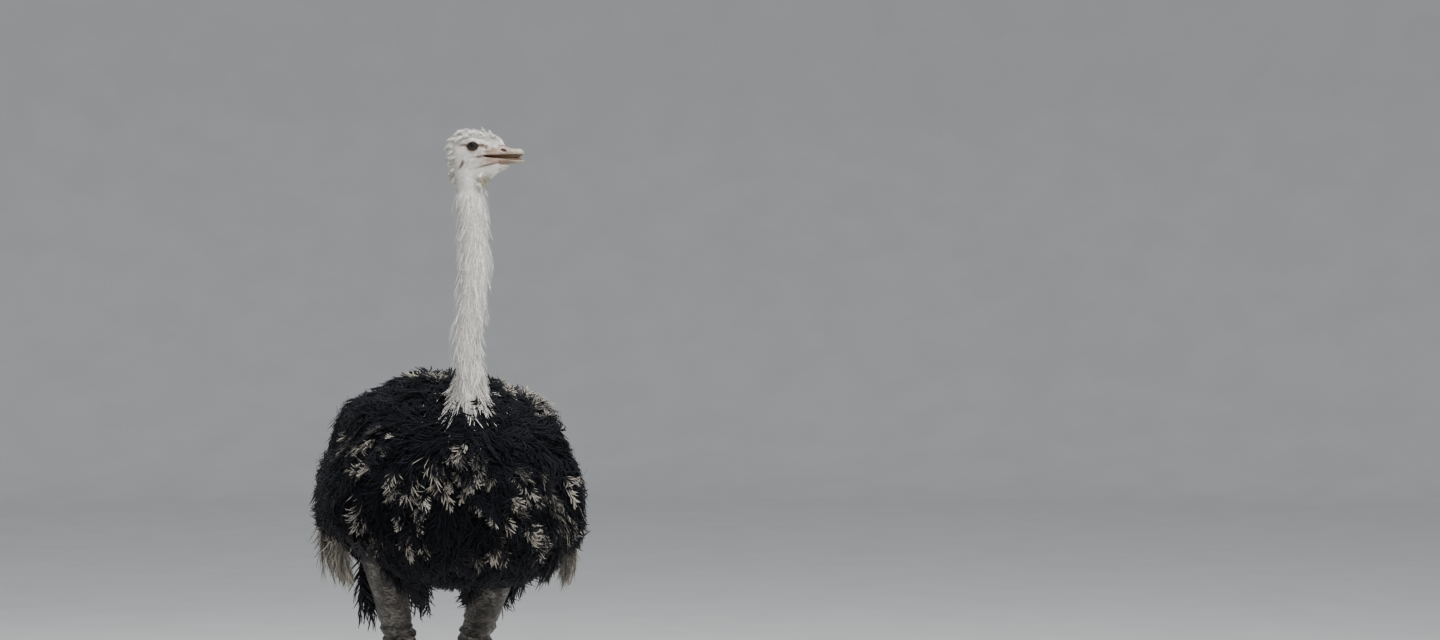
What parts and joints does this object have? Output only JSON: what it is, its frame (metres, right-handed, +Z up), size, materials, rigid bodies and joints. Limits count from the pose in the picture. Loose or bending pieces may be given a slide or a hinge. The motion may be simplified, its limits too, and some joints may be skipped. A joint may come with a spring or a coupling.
{
  "type": "standing ostrich",
  "caption": "Life-size still model of an adult male ostrich standing with its neck upright, head turned aside and bill slightly open, in black plumage with a white downy neck.",
  "frame": {"origin": "floor level, under the middle of the bounding box", "axes": "+Z up, the body faces -Y, +X is the bird's left; the head is turned to +X"},
  "size_m": [0.7823, 1.2037, 2.1135],
  "materials": {
    "black_plumage": "soft black feathers with pale flecks",
    "pale_plumage": "soiled off-white plumes",
    "white_down": "short off-white down",
    "bill_horn": "satin pinkish-beige horn",
    "leg_skin": "bare wrinkled grey-brown skin",
    "leg_scutes": "dry scaled skin",
    "claw_horn": "worn dark horn",
    "eye": "wet, dark brown"
  },
  "bodies": {
    "root": {"trunk": "black_plumage", "wing_left": "black_plumage", "wing_right": "black_plumage", "tail": "pale_plumage", "wing_plumes_left": "pale_plumage", "wing_plumes_right": "pale_plumage", "neck_1": "white_down", "neck_2": "white_down", "neck_3": "white_down", "neck_4": "white_down", "neck_5": "white_down", "head": "white_down", "jaw": "white_down", "bill_upper": "bill_horn", "bill_lower": "bill_horn", "eye_left": "eye", "eye_right": "eye", "drumstick_left": "leg_skin", "drumstick_right": "leg_skin", "tarsus_left": "leg_scutes", "tarsus_right": "leg_scutes", "big_toe_left": "leg_scutes", "big_toe_right": "leg_scutes", "small_toe_left": "leg_scutes", "small_toe_right": "leg_scutes", "big_claw_left": "claw_horn", "big_claw_right": "claw_horn", "small_claw_left": "claw_horn", "small_claw_right": "claw_horn"}
  },
  "joints": []
}
